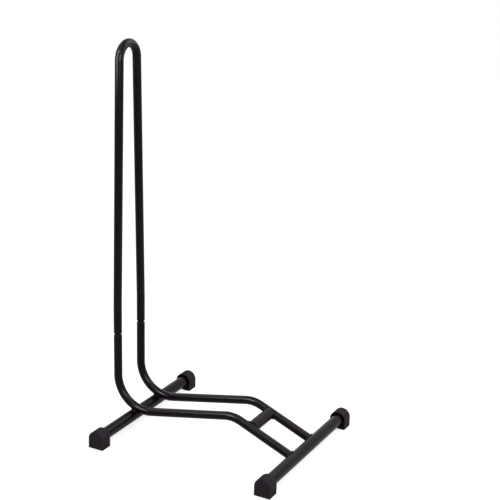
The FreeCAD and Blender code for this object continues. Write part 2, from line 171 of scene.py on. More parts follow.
# %% Helpers for node trees
def feed(tree, node, settings):
    """Give inputs of a node their plain values, or link them to the outputs of other nodes."""
    for key, value in settings.items():
        socket = node.inputs[key]
        if isinstance(value, bpy.types.NodeSocket):
            tree.links.new(value, socket)
        else:
            socket.default_value = value


def add_node(tree, kind, settings=None, **attributes):
    """Add a node, set its attributes and feed its inputs."""
    made = tree.nodes.new(kind)
    for key, value in attributes.items():
        setattr(made, key, value)
    feed(tree, made, settings or {})
    return made


def math_node(tree, operation, first, second=0.0):
    return add_node(tree, "ShaderNodeMath", {0: first, 1: second}, operation=operation).outputs[0]


def seen_directly(tree):
    """1 for rays from the camera, off gloss or through glass, and 0 for the light on the object."""
    path = add_node(tree, "ShaderNodeLightPath").outputs
    seen = math_node(tree, "MAXIMUM", path["Is Camera Ray"], path["Is Glossy Ray"])
    return math_node(tree, "MAXIMUM", seen, path["Is Transmission Ray"])


def bare_tree(holder):
    """Switch a world or a material to nodes, and clear away the ones it comes with."""
    holder.use_nodes = True
    holder.node_tree.nodes.clear()
    return holder.node_tree


# %% The white room
WHITE = (1, 1, 1, 1)
ROOM_LIGHT = 0.45   # what the room gives as light, while it looks fully white

bpy.context.scene.view_settings.view_transform = "Standard"
room = bpy.data.worlds.new("white_room")
bpy.context.scene.world = room
room_tree = bare_tree(room)
soft_light = add_node(room_tree, "ShaderNodeBackground", {"Color": WHITE, "Strength": ROOM_LIGHT})
white_wall = add_node(room_tree, "ShaderNodeBackground", {"Color": WHITE, "Strength": 1.0})
room_mix = add_node(room_tree, "ShaderNodeMixShader",
                    {0: seen_directly(room_tree), 1: soft_light.outputs[0], 2: white_wall.outputs[0]})
add_node(room_tree, "ShaderNodeOutputWorld", {"Surface": room_mix.outputs[0]})
print("room:", room.name, "light", ROOM_LIGHT)

# %% The floor
FLOOR_PALE = 0.60
FLOOR_WHITE = 1.01       # how bright the floor looks to the camera in the room's light
LAMPS_ON_FLOOR = 0.33    # about what the lamps add to that
FLOOR_GLOW = FLOOR_WHITE - ROOM_LIGHT * FLOOR_PALE
FLOOR_RADIUS = 16.0
FLOOR_SIDES = 96
FLOOR_DROP = 0.2 * MM    # the floor lies just under the soles

floor_paint = bpy.data.materials.new("pale_floor")
floor_tree = bare_tree(floor_paint)
floor_matt = add_node(floor_tree, "ShaderNodeBsdfDiffuse",
                      {"Color": (FLOOR_PALE, FLOOR_PALE, FLOOR_PALE, 1)})
# In the gloss the floor glows less, because there the lamps already bring it up to white.
off_gloss = add_node(floor_tree, "ShaderNodeLightPath").outputs["Is Glossy Ray"]
glow_of_ray = add_node(floor_tree, "ShaderNodeMapRange",
                       {"Value": off_gloss, "To Min": FLOOR_GLOW, "To Max": FLOOR_GLOW - LAMPS_ON_FLOOR})
glow_level = math_node(floor_tree, "MULTIPLY", seen_directly(floor_tree), glow_of_ray.outputs[0])
floor_glow = add_node(floor_tree, "ShaderNodeEmission", {"Color": WHITE, "Strength": glow_level})
floor_sum = add_node(floor_tree, "ShaderNodeAddShader",
                     {0: floor_matt.outputs[0], 1: floor_glow.outputs[0]})
add_node(floor_tree, "ShaderNodeOutputMaterial", {"Surface": floor_sum.outputs[0]})

floor_mesh = bpy.data.meshes.new("floor")
floor_shape = bmesh.new()
bmesh.ops.create_circle(floor_shape, cap_ends=True, radius=FLOOR_RADIUS, segments=FLOOR_SIDES,
                        matrix=Matrix.Translation((0, 0, -FLOOR_DROP)))
floor_shape.to_mesh(floor_mesh)
floor_shape.free()
floor_mesh.materials.append(floor_paint)
floor = add_object("floor", floor_mesh)
print("floor glow for the camera", round(FLOOR_GLOW, 3))

# %% The lamps
STAND_MIDDLE = Vector((0.0, 0.0, 0.36))


def place_lamp(name, swing, distance, height, size, brightness,
               gloss_only=False, matt_only=False, upright=False):
    """A soft box, swung to the left of the camera by an angle, and turned to the stand.
    Height is that of its middle, and brightness is how bright it looks in a mirror.
    One that is for gloss only draws highlights and adds nothing to the light on matt surfaces,
    and one that is for matt only does the opposite.
    An upright one isn't tilted down to the stand."""
    angle = CAMERA_TURN - math.radians(swing)
    place = Vector((math.sin(angle), -math.cos(angle), 0.0)) * distance + Vector((0, 0, height))
    aim = Vector((0, 0, height)) - place if upright else STAND_MIDDLE - place
    width, tall = size
    lamp = bpy.data.lights.new(name, "AREA")
    lamp.shape = "RECTANGLE"
    lamp.size = width
    lamp.size_y = tall
    lamp.energy = brightness * math.pi * width * tall
    holder = add_object(name, lamp)
    holder.matrix_world = Matrix.Translation(place) @ aim.to_track_quat("-Z", "Y").to_matrix().to_4x4()
    holder.visible_camera = False
    holder.visible_diffuse = not gloss_only
    holder.visible_glossy = not matt_only
    print(name, [round(v, 2) for v in place], "power", round(lamp.energy, 2))


place_lamp("box_over", swing=40.0, distance=1.2, height=2.90, size=(1.8, 1.8), brightness=1.6)
place_lamp("box_back", swing=-110.0, distance=1.5, height=2.10, size=(1.6, 1.1), brightness=2.2)
place_lamp("fill_right", swing=-75.0, distance=1.2, height=0.55, size=(0.8, 0.7), brightness=2.5,
           matt_only=True)
place_lamp("gloss_back", swing=-103.0, distance=0.70, height=1.06, size=(1.0, 0.8), brightness=2.5,
           gloss_only=True, upright=True)
place_lamp("gloss_front", swing=-15.0, distance=1.3, height=0.94, size=(0.62, 0.74), brightness=14.0,
           gloss_only=True, upright=True)
place_lamp("gloss_left", swing=64.0, distance=0.9, height=1.04, size=(0.60, 0.92), brightness=15.5,
           gloss_only=True, upright=True)
place_lamp("gloss_over", swing=26.0, distance=1.75, height=2.50, size=(2.6, 0.6), brightness=7.0,
           gloss_only=True)
place_lamp("gloss_side", swing=132.0, distance=2.0, height=1.95, size=(1.6, 0.6), brightness=3.0,
           gloss_only=True)

# %% [markdown]
# ## Effects that the finishes share
#
# A sprayed and baked paint has a fine skin like the peel of an orange. Hands leave faint smudges. Dust
# settles on what faces upwards. Edges are rubbed first: a rounded edge is the only place where the
# surface leans between two directions, so the surface normal alone is enough to find it.
# Each of these could be built anew in each finish. As a small shader group it is built once and placed
# in a finish with its own values, so a change is made in one place.

# %% A group builder and the paint's skin
NUMBER, DIRECTION = "NodeSocketFloat", "NodeSocketVector"
FINER_BY, FINE_SHARE = 4.0, 0.25   # a grain finer than the dimples, and its share of their height
TONE_SCALE = 0.05                  # the tone changes over twenty dimples


def new_tree(name, kind, inputs, outputs):
    """An empty node group with named inputs and outputs."""
    tree = bpy.data.node_groups.new(name, kind)
    for in_out, sockets in (("INPUT", inputs), ("OUTPUT", outputs)):
        for label, socket_type in sockets.items():
            tree.interface.new_socket(label, in_out=in_out, socket_type=socket_type)
    return tree, tree.nodes.new("NodeGroupInput").outputs, tree.nodes.new("NodeGroupOutput").inputs


def noise(tree, where, scale, seed, detail):
    """Smooth noise. The seed moves it along a fourth direction, so it is the same each time."""
    settings = {"Vector": where, "Scale": scale, "W": seed, "Detail": detail}
    return add_node(tree, "ShaderNodeTexNoise", settings, noise_dimensions="4D").outputs["Fac"]


peel, wants, gives = new_tree("orange_peel", "ShaderNodeTree",
                              {"Vector": DIRECTION, "Dimples per Metre": NUMBER, "Seed": NUMBER},
                              {"Height": NUMBER, "Tone": NUMBER})
dimples = noise(peel, wants["Vector"], wants["Dimples per Metre"], wants["Seed"], detail=1.0)
fine_scale = math_node(peel, "MULTIPLY", wants["Dimples per Metre"], FINER_BY)
fine_grain = noise(peel, wants["Vector"], fine_scale, wants["Seed"], detail=2.0)
fine_part = math_node(peel, "MULTIPLY", fine_grain, FINE_SHARE)
peel.links.new(math_node(peel, "ADD", dimples, fine_part), gives["Height"])
tone_scale = math_node(peel, "MULTIPLY", wants["Dimples per Metre"], TONE_SCALE)
peel.links.new(noise(peel, wants["Vector"], tone_scale, wants["Seed"], detail=3.0), gives["Tone"])
print("effect:", peel.name)

# %% Hand smudges
STREAKS_PER_SMUDGE = 14.0


def eased(tree, value, start, end):
    """0 at the start, 1 at the end, and a soft step between."""
    step = add_node(tree, "ShaderNodeMapRange", {"Value": value, "From Min": start, "From Max": end},
                    interpolation_type="SMOOTHSTEP")
    return step.outputs["Result"]


smudges, wants, gives = new_tree("hand_smudges", "ShaderNodeTree",
                                 {"Vector": DIRECTION, "Smudges per Metre": NUMBER, "Seed": NUMBER},
                                 {"Mask": NUMBER})
patches = noise(smudges, wants["Vector"], wants["Smudges per Metre"], wants["Seed"], detail=3.0)
streak_scale = math_node(smudges, "MULTIPLY", wants["Smudges per Metre"], STREAKS_PER_SMUDGE)
streaks = noise(smudges, wants["Vector"], streak_scale, wants["Seed"], detail=4.0)
patch_mask = eased(smudges, patches, start=0.52, end=0.68)
streak_mask = eased(smudges, streaks, start=0.40, end=0.66)
smudges.links.new(math_node(smudges, "MULTIPLY", patch_mask, streak_mask), gives["Mask"])
print("effect:", smudges.name)

# %% Settled dust and rubbed edges
SPECKS_PER_METRE, DRIFTS_PER_METRE = 900.0, 22.0
RUBS_PER_METRE = 260.0
LEAN_INPUTS = {"Vector": DIRECTION, "Normal": DIRECTION, "Seed": NUMBER}

dust, wants, gives = new_tree("settled_dust", "ShaderNodeTree", LEAN_INPUTS, {"Mask": NUMBER})
facing_up = add_node(dust, "ShaderNodeSeparateXYZ", {0: wants["Normal"]}).outputs["Z"]
speck_noise = noise(dust, wants["Vector"], SPECKS_PER_METRE, wants["Seed"], detail=3.0)
drift_noise = noise(dust, wants["Vector"], DRIFTS_PER_METRE, wants["Seed"], detail=2.0)
specks = eased(dust, speck_noise, start=0.35, end=0.75)
drifts = eased(dust, drift_noise, start=0.30, end=0.70)
lying = math_node(dust, "MULTIPLY", eased(dust, facing_up, start=0.25, end=0.95), specks)
dust.links.new(math_node(dust, "MULTIPLY", lying, drifts), gives["Mask"])

rub, wants, gives = new_tree("rubbed_edge", "ShaderNodeTree", LEAN_INPUTS, {"Mask": NUMBER})
along_foot = add_node(rub, "ShaderNodeSeparateXYZ", {0: wants["Normal"]}).outputs["Y"]
squared = math_node(rub, "MULTIPLY", along_foot, along_foot)
between = math_node(rub, "MULTIPLY", squared, math_node(rub, "SUBTRACT", 1.0, squared))
edge_mask = eased(rub, between, start=0.08, end=0.24)
rub_noise = noise(rub, wants["Vector"], RUBS_PER_METRE, wants["Seed"], detail=4.0)
broken = eased(rub, rub_noise, start=0.38, end=0.62)
rub.links.new(math_node(rub, "MULTIPLY", edge_mask, broken), gives["Mask"])
print("effects:", dust.name, rub.name)

# %% [markdown]
# ## The finishes
#
# All tubes carry one black powder coat: a deep black with a smooth skin, baked on after welding. The
# same coat lies over the weld beads, where it is thicker and its skin a little deeper.
# The end caps are moulded from black rubber: matt, with a fine grain from the mould, greyer than the
# paint, and lighter where their edges rub on the floor.
# A plain black would do from far away. Close up, a coat shows where it shines and where it is dull, so
# roughness and bump come from the shared effects.

# %% Helpers for a finish
MIX_FACTOR, MIX_FIRST, MIX_SECOND, MIX_RESULT = 0, 6, 7, 2   # sockets of a Mix node that mixes colours


def new_finish(name):
    material = bpy.data.materials.new(name)
    material.use_nodes = True
    tree = material.node_tree
    shader = tree.nodes["Principled BSDF"]
    where = add_node(tree, "ShaderNodeTexCoord").outputs["Object"]
    lean = add_node(tree, "ShaderNodeNewGeometry").outputs["Normal"]
    return material, tree, shader, where, lean


def use_effect(tree, effect, settings):
    """Place a shader group in a finish and give its inputs their values or links."""
    return add_node(tree, "ShaderNodeGroup", settings, node_tree=effect).outputs


def two_colours(tree, mask, first, second):
    settings = {MIX_FACTOR: mask, MIX_FIRST: (*first, 1), MIX_SECOND: (*second, 1)}
    return add_node(tree, "ShaderNodeMix", settings, data_type="RGBA").outputs[MIX_RESULT]


def added_up(tree, base, *parts):
    """A base value plus some masks, each times its own weight."""
    total = base
    for mask, weight in parts:
        total = math_node(tree, "ADD", total, math_node(tree, "MULTIPLY", mask, weight))
    return total


# %% The black powder coat
PEEL_PER_METRE = 620.0
PEEL_BUMP = 0.25
SMUDGES_PER_METRE = 13.0
DUST_GREY, DUST_COVER = 0.018, 0.45
TONE_DULLS, SMUDGES_DULL, DUST_DULLS = 0.10, 0.07, 0.08   # what each adds to the roughness
PAINT_MIRRORS = 0.12   # low, because the white room in it would turn the paint grey
PAINT_TINT = (0.93, 0.89, 1.05, 1)


def make_coat(name, black, dull, peel_depth, seed):
    material, tree, shader, where, lean = new_finish(name)
    skin = use_effect(tree, peel, {"Vector": where, "Dimples per Metre": PEEL_PER_METRE, "Seed": seed})
    hands = use_effect(tree, smudges,
                       {"Vector": where, "Smudges per Metre": SMUDGES_PER_METRE, "Seed": seed + 1.0})
    specks = use_effect(tree, dust, {"Vector": where, "Normal": lean, "Seed": seed + 2.0})
    grey = tuple(value + DUST_GREY for value in black)
    dusty = math_node(tree, "MULTIPLY", specks["Mask"], DUST_COVER)
    roughness = added_up(tree, dull - TONE_DULLS / 2, (skin["Tone"], TONE_DULLS),
                         (hands["Mask"], SMUDGES_DULL), (specks["Mask"], DUST_DULLS))
    bump = add_node(tree, "ShaderNodeBump",
                    {"Height": skin["Height"], "Strength": PEEL_BUMP, "Distance": peel_depth})
    feed(tree, shader, {"Base Color": two_colours(tree, dusty, black, grey), "Roughness": roughness,
                        "Specular IOR Level": PAINT_MIRRORS, "Specular Tint": PAINT_TINT,
                        "Normal": bump.outputs[0]})
    return material


tube_paint = make_coat("tube_paint", black=(0.0060, 0.0022, 0.0046), dull=0.16,
                       peel_depth=0.05 * MM, seed=3.0)
weld_paint = make_coat("weld_paint", black=(0.0062, 0.0026, 0.0048), dull=0.15,
                       peel_depth=0.09 * MM, seed=11.0)
print("finishes:", tube_paint.name, weld_paint.name)

# %% The moulded cap rubber
GRAIN_PER_METRE = 1500.0
GRAIN_BUMP, GRAIN_DEPTH = 0.5, 0.12 * MM
EDGE_WEAR, DUST_WEAR, FLOOR_WEAR = 0.55, 0.15, 0.35
RUBBER_BLACK, RUBBER_WORN = (0.0300, 0.0250, 0.0306), (0.048, 0.0420, 0.0475)
RUBBER_DULL, GRAIN_DULLS, WEAR_DULLS = 0.80, 0.10, 0.06
RUBBER_MIRRORS = 0.05
RUBBER_TINT = (1.0, 0.90, 1.03, 1)
RUBBER_SEED = 21.0

cap_rubber, tree, shader, where, lean = new_finish("cap_rubber")
grain = use_effect(tree, peel, {"Vector": where, "Dimples per Metre": GRAIN_PER_METRE, "Seed": RUBBER_SEED})
specks = use_effect(tree, dust, {"Vector": where, "Normal": lean, "Seed": RUBBER_SEED + 1.0})
edges = use_effect(tree, rub, {"Vector": where, "Normal": lean, "Seed": RUBBER_SEED + 2.0})
height = add_node(tree, "ShaderNodeSeparateXYZ", {0: where}).outputs["Z"]
near_floor = eased(tree, height, start=5.0 * MM, end=0.5 * MM)
patchy = eased(tree, grain["Tone"], start=0.35, end=0.65)
scuffed = math_node(tree, "MULTIPLY", near_floor, patchy)
wear = added_up(tree, 0.0, (edges["Mask"], EDGE_WEAR), (specks["Mask"], DUST_WEAR), (scuffed, FLOOR_WEAR))
worn = math_node(tree, "MINIMUM", wear, 1.0)
roughness = added_up(tree, RUBBER_DULL, (grain["Tone"], GRAIN_DULLS), (worn, WEAR_DULLS))
bump = add_node(tree, "ShaderNodeBump",
                {"Height": grain["Height"], "Strength": GRAIN_BUMP, "Distance": GRAIN_DEPTH})
feed(tree, shader, {"Base Color": two_colours(tree, worn, RUBBER_BLACK, RUBBER_WORN),
                    "Roughness": roughness, "Specular IOR Level": RUBBER_MIRRORS,
                    "Specular Tint": RUBBER_TINT, "Normal": bump.outputs[0]})
print("finish:", cap_rubber.name)

# %% [markdown]
# ## A tube that follows a bent line
#
# Every tube here is made on a bender: straight runs, and bends of a fixed radius between them. A curve
# with a round bevel could be drawn for each of them, with its bends set by hand. But bending is a
# rule, so one Geometry Nodes tree does it for all. Its input is only the corners of the line. Each
# corner carries its bend radius, the number of steps in the bend and the tube's outside radius there.
# The tree rounds the corners, runs a circle along the line and gives it the finish.

# %% Helpers for Geometry Nodes
GEOMETRY, WHOLE, FINISH = "NodeSocketGeometry", "NodeSocketInt", "NodeSocketMaterial"
# What the points of a line can carry, and of which kind it is.
LINE_VALUES = {"bend": "FLOAT", "steps": "INT", "girth": "FLOAT", "outward": "FLOAT_VECTOR",
               "along": "FLOAT"}


def new_shape_tree(name, inputs):
    return new_tree(name, "GeometryNodeTree", {"Line": GEOMETRY, **inputs}, {"Shape": GEOMETRY})


def stored(tree, name):
    """A value that the line's points carry with them."""
    made = add_node(tree, "GeometryNodeInputNamedAttribute", {"Name": name}, data_type=LINE_VALUES[name])
    return made.outputs["Attribute"]


def close_tree(tree, shape, finish, gives):
    smooth = add_node(tree, "GeometryNodeSetShadeSmooth", {0: shape})
    real = add_node(tree, "GeometryNodeRealizeInstances", {0: smooth.outputs[0]})
    painted = add_node(tree, "GeometryNodeSetMaterial", {0: real.outputs[0], "Material": finish})
    tree.links.new(painted.outputs[0], gives["Shape"])


# %% The bent tube tree
bent_tube, wants, gives = new_shape_tree("bent_tube", {"Sides": WHOLE, "Finish": FINISH})
line = add_node(bent_tube, "GeometryNodeMeshToCurve", {0: wants["Line"]})
rounded = add_node(bent_tube, "GeometryNodeFilletCurve",
                   {"Curve": line.outputs[0], "Count": stored(bent_tube, "steps"),
                    "Radius": stored(bent_tube, "bend"), "Limit Radius": False}, mode="POLY")
ring = add_node(bent_tube, "GeometryNodeCurvePrimitiveCircle",
                {"Resolution": wants["Sides"], "Radius": 1.0})
swept = add_node(bent_tube, "GeometryNodeCurveToMesh",
                 {"Curve": rounded.outputs[0], "Profile Curve": ring.outputs["Curve"],
                  "Scale": stored(bent_tube, "girth")})
close_tree(bent_tube, swept.outputs[0], wants["Finish"], gives)
print("tree:", bent_tube.name, len(bent_tube.nodes), "nodes")


# %% Helper that lays a line
def lay_line(name, points, closed=False, **values):
    """A mesh of points and edges. Each named value is a list with one entry for each point."""
    count = len(points)
    edges = [(i, i + 1) for i in range(count - 1)]
    if closed:
        edges.append((count - 1, 0))
    mesh = bpy.data.meshes.new(name)
    mesh.from_pydata([tuple(point) for point in points], edges, [])
    for label, entries in values.items():
        kind = LINE_VALUES[label]
        layer = mesh.attributes.new(label, kind, "POINT")
        if kind == "FLOAT_VECTOR":
            layer.data.foreach_set("vector", [part for entry in entries for part in entry])
        else:
            layer.data.foreach_set("value", entries)
    return add_object(name, mesh)


# %% Helpers that settle a shape
SAME_PLACE = 0.001 * MM


def settle(piece):
    """Turn what the modifiers make into a plain mesh, and take the modifiers off."""
    graph = bpy.context.evaluated_depsgraph_get()
    mesh = bpy.data.meshes.new_from_object(piece.evaluated_get(graph), depsgraph=graph)
    piece.modifiers.clear()
    line_mesh, piece.data = piece.data, mesh
    bpy.data.meshes.remove(line_mesh)
    mesh.name = piece.name
    for label in LINE_VALUES:
        if label in mesh.attributes:
            mesh.attributes.remove(mesh.attributes[label])


def grow(piece, tree, settings):
    """Put a tree on a piece. Inputs are set by the identifier of their socket."""
    modifier = piece.modifiers.new(tree.name, "NODES")
    modifier.node_group = tree
    for socket in tree.interface.items_tree:
        if socket.in_out == "INPUT" and socket.name in settings:
            modifier[socket.identifier] = settings[socket.name]
    settle(piece)


def clean(piece, face_outwards=False):
    """Join points that lie in one place. Turning the faces outwards is for a skin with no wall yet."""
    shape = bmesh.new()
    shape.from_mesh(piece.data)
    bmesh.ops.remove_doubles(shape, verts=shape.verts, dist=SAME_PLACE)
    bmesh.ops.dissolve_degenerate(shape, edges=shape.edges, dist=SAME_PLACE)
    if face_outwards:
        bmesh.ops.recalc_face_normals(shape, faces=shape.faces)
    shape.to_mesh(piece.data)
    shape.free()


# %% Helpers that sweep a tube and measure a piece
END_ROUND_STEPS = 3
END_ANGLE = math.radians(60)   # only the edges of an end are this sharp


def thicken(piece, wall, end_round):
    """Give an open tube its wall, inwards, and round the edges of its ends."""
    solid = piece.modifiers.new("wall", "SOLIDIFY")
    solid.thickness = wall
    solid.offset = -1.0
    solid.use_even_offset = True
    if end_round:
        ends = piece.modifiers.new("ends", "BEVEL")
        ends.width = end_round
        ends.segments = END_ROUND_STEPS
        ends.limit_method = "ANGLE"
        ends.angle_limit = END_ANGLE


def sweep(piece, sides, wall, end_round=0.0):
    """Make a painted tube of a piece that is still a bare line."""
    grow(piece, bent_tube, {"Sides": sides, "Finish": tube_paint})
    clean(piece, face_outwards=True)
    thicken(piece, wall, end_round)


def report(piece):
    piece.data.calc_loop_triangles()
    corners = [vertex.co for vertex in piece.data.vertices]
    low = [round(min(place) / MM, 1) for place in zip(*corners)]
    high = [round(max(place) / MM, 1) for place in zip(*corners)]
    print(piece.name, len(piece.data.loop_triangles), "triangles", low, high)


# %% [markdown]
# ## The side rails
#
# Each rail is one tube. Its top is squeezed to a spigot that the hoop slides over, with a short
# rounded shoulder below it. It comes down, turns forward over the rear foot, climbs to a low crest and
# falls to the front foot. Its line could be traced, but its corners follow from the frame: the rear
# bend has to rest on the rear foot, and the fall has to end just inside the round of the front foot.

# %% Work out the rail's line
bend_x = upright_x + REAR_BEND
bend_reach = REAR_BEND + tube_radius + foot_radius - SADDLE_DEPTH
bend_z = foot_z + math.sqrt(bend_reach ** 2 - (bend_x - rear_x) ** 2)
crest_x = rear_x + CREST_REACH
fall_run, fall_drop = front_x - crest_x, CREST_HEIGHT - foot_z
under_foot = foot_radius - tube_radius - RAIL_AIM
slope = math.atan2(fall_drop, fall_run) + math.asin(under_foot / math.hypot(fall_run, fall_drop))
rail_end_z = CREST_HEIGHT - fall_run * math.tan(slope)
rise_run, rise_drop = crest_x - bend_x, bend_z - CREST_HEIGHT
rise = math.asin(REAR_BEND / math.hypot(rise_run, rise_drop)) - math.atan2(rise_drop, rise_run)
rear_corner_z = CREST_HEIGHT - math.tan(rise) * (crest_x - upright_x)
print("rise", round(math.degrees(rise), 2), "fall", round(math.degrees(slope), 2), "degrees")

# %% Sweep the rails
TUBE_SIDES = 64
SHOULDER_STEPS = 12
REAR_BEND_STEPS, CREST_BEND_STEPS = 40, 20
END_RUN = 3.0 * MM             # a ring this far from an end or a shoulder keeps a long run's shading even
SPIGOT_END_ROUND = 0.35 * MM


def tube_shoulder():
    """Heights from the spigot's top down to the full tube, with the tube's radius at each of them."""
    neck_foot = joint_z - NECK_LENGTH
    neck_radius = SPIGOT_RADIUS + NECK_TAPER
    stations = [(z, SPIGOT_RADIUS) for z in (spigot_top, spigot_top - END_RUN, joint_z)]
    for step in range(SHOULDER_STEPS + 1):
        part = step / SHOULDER_STEPS
        swell = part * part * (3 - 2 * part)   # a soft step from 0 to 1
        radius = neck_radius + (tube_radius - neck_radius) * swell
        stations.append((neck_foot - SWAGE_LENGTH * part, radius))
    stations.append((neck_foot - SWAGE_LENGTH - END_RUN, tube_radius))
    return stations


def lay_rail(name, y):
    shoulder = tube_shoulder()
    corners = [(upright_x, rear_corner_z), (crest_x, CREST_HEIGHT), (front_x, rail_end_z)]
    points = [(upright_x, y, z) for z, _ in shoulder] + [(x, y, z) for x, z in corners]
    plain = len(shoulder)
    piece = lay_line(name, points,
                     bend=[0.0] * plain + [REAR_BEND, CREST_BEND, 0.0],
                     steps=[0] * plain + [REAR_BEND_STEPS, CREST_BEND_STEPS, 0],
                     girth=[radius for _, radius in shoulder] + [tube_radius] * len(corners))
    sweep(piece, TUBE_SIDES, TUBE_WALL, SPIGOT_END_ROUND)
    return piece


rails = {"left": lay_rail("left_rail", rail_y), "right": lay_rail("right_rail", -rail_y)}
print("rails swept:", [rail.name for rail in rails.values()])

# %% [markdown]
# The front end of a rail is cut to the round of the foot, and the underside of the rear bend has a
# shallow saddle where it sits on the rear foot. Left uncut, the tubes would run into each other.
# A Boolean with a plain rod in the foot's place cuts both, as a hole saw and a file would.

# %% Cut the rails to the feet
ACROSS = Vector((0, 1, 0))
SAW_SIDES = 128
SAW_LENGTH = 0.3
SHARP_EDGE = math.radians(35)


def cutting_rod(place, radius, length, direction):
    """A plain rod that only cuts. It is taken away afterwards."""
    turn = direction.to_track_quat("Z", "Y").to_matrix().to_4x4()
    shape = bmesh.new()
    bmesh.ops.create_cone(shape, cap_ends=True, segments=SAW_SIDES, radius1=radius, radius2=radius,
                          depth=length, matrix=Matrix.Translation(place) @ turn)
    mesh = bpy.data.meshes.new("saw")
    shape.to_mesh(mesh)
    shape.free()
    return add_object("saw", mesh)


def cut(piece, rods):
    for rod in rods:
        saw = piece.modifiers.new("cut", "BOOLEAN")
        saw.operation = "DIFFERENCE"
        saw.solver = "EXACT"
        saw.object = rod
    settle(piece)
    clean(piece)
    piece.data.set_sharp_from_angle(angle=SHARP_EDGE)
    for rod in rods:
        mesh = rod.data
        bpy.data.objects.remove(rod)
        bpy.data.meshes.remove(mesh)


for rail in rails.values():
    cut(rail, [cutting_rod((x, 0, foot_z), foot_radius, SAW_LENGTH, ACROSS) for x in (front_x, rear_x)])
    report(rail)

# %% [markdown]
# ## The hoop
#
# One long tube: two legs that lean together and a tight arch on top. Its lower ends slide over the
# spigots. Two legs and an arc could be joined, but the tree for bent tubes makes it in one go: the two
# legs, carried on upwards, would meet in one very high corner, and that corner's bend is the arch.

# %% Sweep the hoop
KNEE_STEPS, ARCH_STEPS = 6, 72
HOOP_END_ROUND = 0.45 * MM

arch_z = hoop_top - ARCH_BEND - tube_radius
leg_rise = arch_z - LEG_KNEE
lean_in = math.atan2(rail_y, leg_rise) - math.asin(ARCH_BEND / math.hypot(rail_y, leg_rise))
legs_meet = LEG_KNEE + rail_y / math.tan(lean_in)

# Each corner is its height, its bend and the steps in that bend.
leg = [(joint_z, 0.0, 0), (joint_z + END_RUN, 0.0, 0), (LEG_KNEE, LEG_BEND, KNEE_STEPS)]
arch = (legs_meet, ARCH_BEND, ARCH_STEPS)
heights, bends, steps = zip(*leg, arch, *reversed(leg))
across = [-rail_y] * len(leg) + [0.0] + [rail_y] * len(leg)
hoop = lay_line("hoop_tube", [(upright_x, y, z) for y, z in zip(across, heights)],
                bend=bends, steps=steps, girth=[tube_radius] * len(across))
sweep(hoop, TUBE_SIDES, TUBE_WALL, HOOP_END_ROUND)
settle(hoop)
hoop.data.set_sharp_from_angle(angle=SHARP_EDGE)
print("legs lean", round(math.degrees(lean_in), 3), "degrees")
report(hoop)

# %% [markdown]
# ## The straight tubes
#
# Two thick foot tubes lie across the stand, and a shorter one of the same tube joins the falling rails.
# They could be plain cylinders, but from the same tree they get the same kind of wall and the same
# finish as the bent ones. They are straight, so their line has no bends. The cross tube's ends are
# notched to the rails.

# %% Sweep the feet and the cross tube
FOOT_SIDES = 96
FOOT_END_RUN = 2.0 * MM
NOTCH_SAW_LENGTH = 0.09


def lay_straight(name, x, z, half, radius):
    inner = half - FOOT_END_RUN
    points = [(x, y, z) for y in (-half, -inner, inner, half)]
    count = len(points)
    piece = lay_line(name, points, bend=[0.0] * count, steps=[0] * count, girth=[radius] * count)
    sweep(piece, FOOT_SIDES, FOOT_WALL)
    return piece


rear_foot = lay_straight("rear_foot", rear_x, foot_z, foot_half, foot_radius)
front_foot = lay_straight("front_foot", front_x, foot_z, foot_half, foot_radius)
for foot in (rear_foot, front_foot):
    settle(foot)
    foot.data.set_sharp_from_angle(angle=SHARP_EDGE)
    report(foot)

cross = lay_straight("cross_piece", cross_middle.x, cross_middle.z, cross_half, cross_radius)
down_the_fall = Vector((math.cos(slope), 0, -math.sin(slope)))
cut(cross, [cutting_rod((cross_middle.x, y, cross_middle.z), tube_radius, NOTCH_SAW_LENGTH, down_the_fall)
            for y in (-rail_y, rail_y)])
report(cross)

# %% [markdown]
# ## The weld beads
#
# The tubes are joined by hand-laid beads. A bead lies in the corner between two tubes, so its line is
# found by growing both tubes by the same small amount and taking the curve in which they meet.
# A row of small blobs could stand for it, but a real bead is one string of melt with ripples. The
# ripples follow the line, so a second Geometry Nodes tree makes them: it runs a circle along the line
# and then moves its skin in and out. The ripples bow forward at the crown of the bead, as they do when
# the melt sets behind the torch.

# %% The weld bead tree: a plain bead
weld_bead, wants, gives = new_shape_tree(
    "weld_bead", {"Ring Spacing": NUMBER, "Sides": WHOLE, "Ripples per Metre": NUMBER,
                  "Ripple Height": NUMBER, "Bow": NUMBER, "Seed": NUMBER, "Finish": FINISH})
line = add_node(weld_bead, "GeometryNodeMeshToCurve", {0: wants["Line"]})
even = add_node(weld_bead, "GeometryNodeResampleCurve",
                {"Curve": line.outputs[0], "Length": wants["Ring Spacing"]}, mode="LENGTH")
run = add_node(weld_bead, "GeometryNodeSplineParameter")
marked = add_node(weld_bead, "GeometryNodeStoreNamedAttribute",
                  {"Geometry": even.outputs[0], "Name": "along", "Value": run.outputs["Length"]},
                  domain="POINT")
ring = add_node(weld_bead, "GeometryNodeCurvePrimitiveCircle",
                {"Resolution": wants["Sides"], "Radius": 1.0})
swept = add_node(weld_bead, "GeometryNodeCurveToMesh",
                 {"Curve": marked.outputs[0], "Profile Curve": ring.outputs["Curve"],
                  "Scale": stored(weld_bead, "girth"), "Fill Caps": True})
print("plain bead:", len(weld_bead.nodes), "nodes")

# %% The weld bead tree: its ripples
WAVERS_PER_METRE = 260.0   # the hand isn't steady
WAVER = 0.9                # how far that shifts a ripple, in ripples
RIPPLE_LEVEL = 0.6         # the height in a ripple, from 0 to 1, that lies level with the plain bead
LEAST_RIPPLE = 0.5         # share of its height that the faintest ripple keeps

